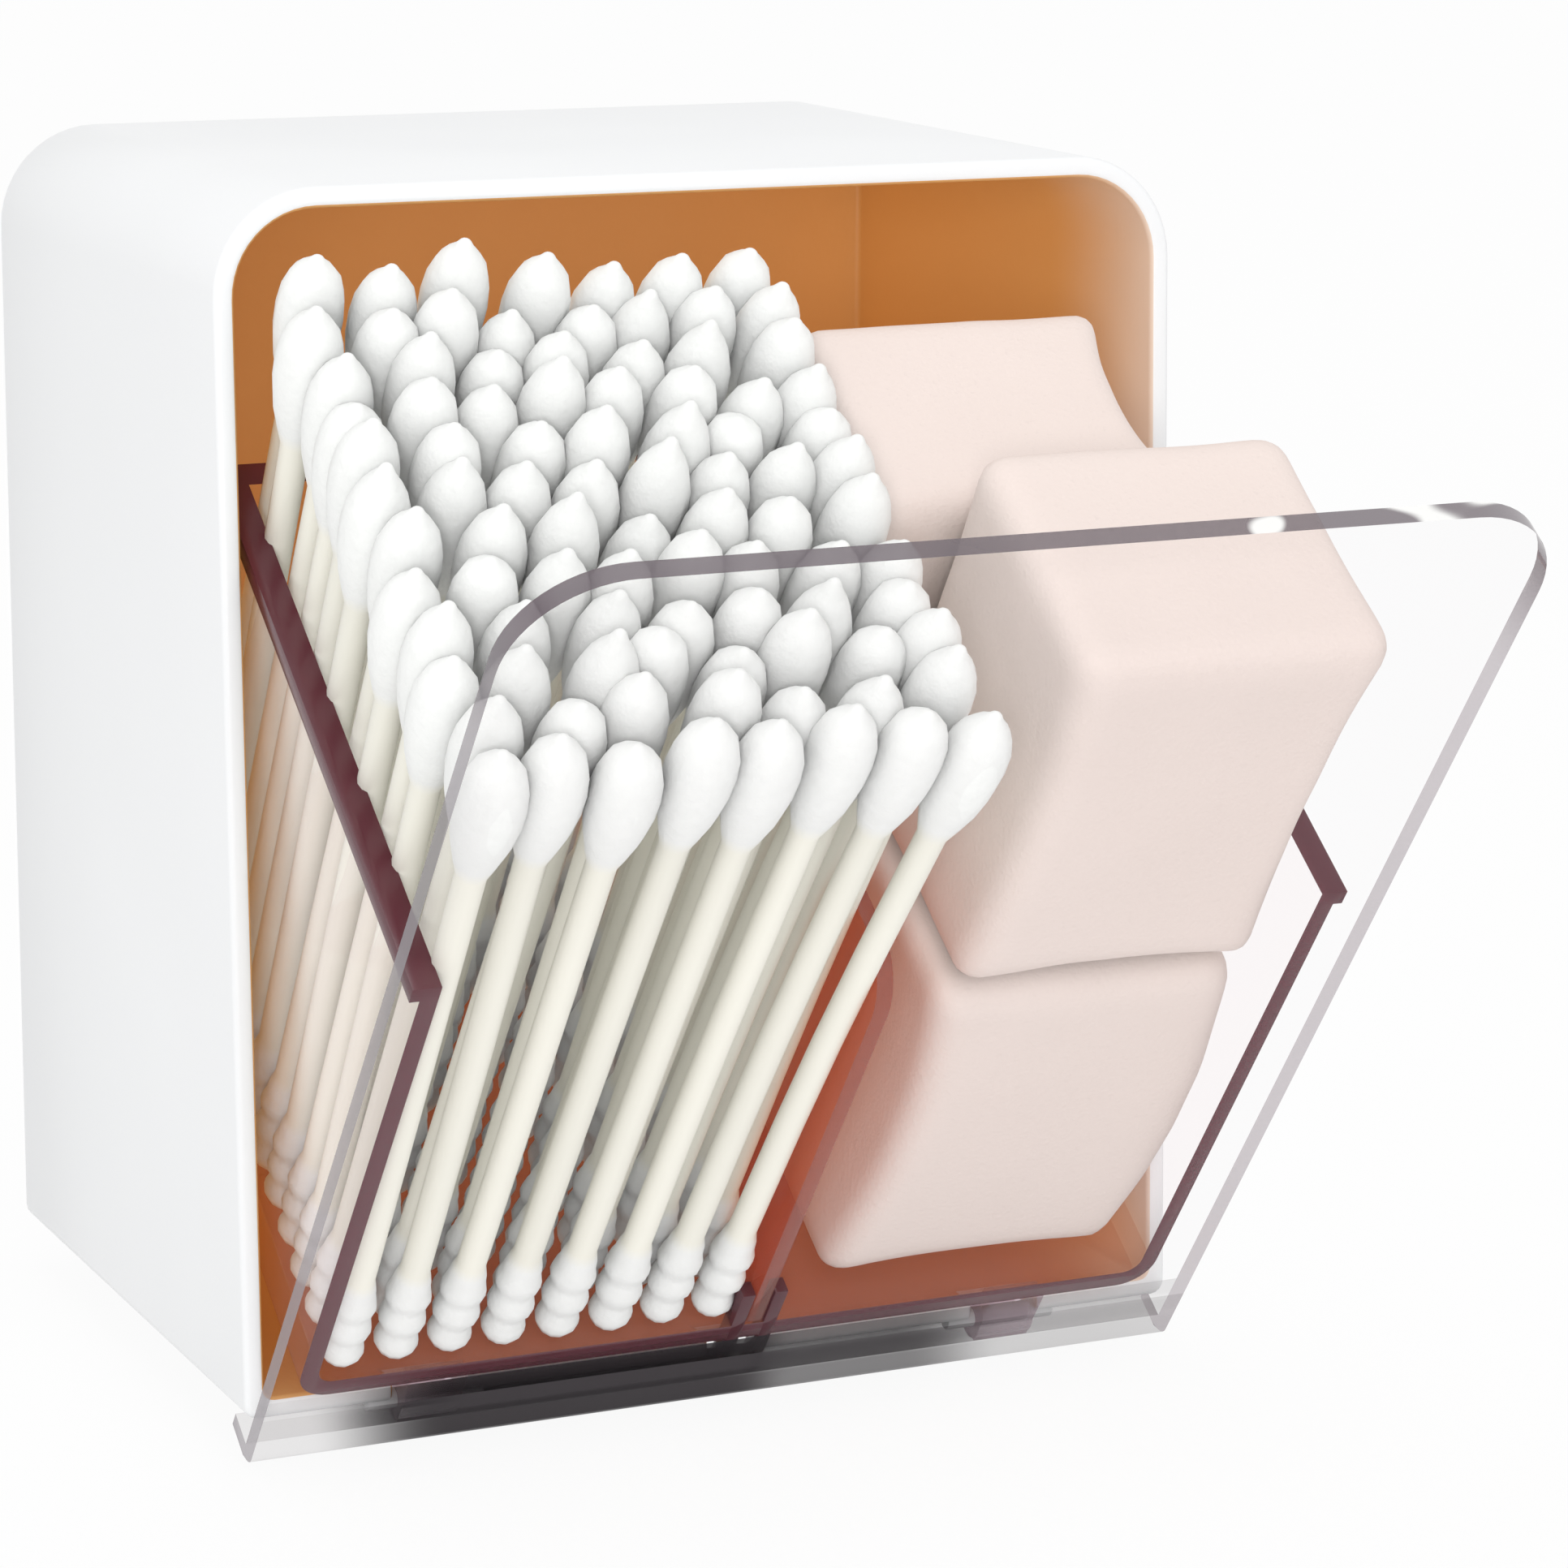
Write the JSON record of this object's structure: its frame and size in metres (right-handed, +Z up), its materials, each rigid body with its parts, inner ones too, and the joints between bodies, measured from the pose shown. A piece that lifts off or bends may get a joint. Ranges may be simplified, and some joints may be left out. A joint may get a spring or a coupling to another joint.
{
  "type": "tilt-out storage box",
  "caption": "Wall-mounted white storage box with a clear tilt-out bin, a divider, cotton swabs and makeup sponges.",
  "frame": {"origin": "centre of the flat back face that lies against the wall", "axes": "+Y into the wall, the front and its clear panel toward -Y, +Z up, +X to the right seen from the front"},
  "size_m": [0.083, 0.1207, 0.1006],
  "materials": {
    "housing": "satin white outside, warm orange inside",
    "clear_plastic": "clear, faintly tinted, polished",
    "tinted_plastic": "translucent red-brown, polished",
    "cotton": "cotton buds on smooth paper sticks",
    "sponge": "matt pale pink sponge"
  },
  "bodies": {
    "case": {"housing": "housing"},
    "bin": {"tilt_bin": "clear_plastic", "divider": "tinted_plastic", "swabs": "cotton", "sponges": "sponge"}
  },
  "joints": [
    {"name": "bin_tilt", "type": "hinge", "parent": "case", "child": "bin", "pos_m": [0, -0.0597, -0.04885], "axis": [1, 0, 0], "range_deg": [-38.4, 0]}
  ]
}
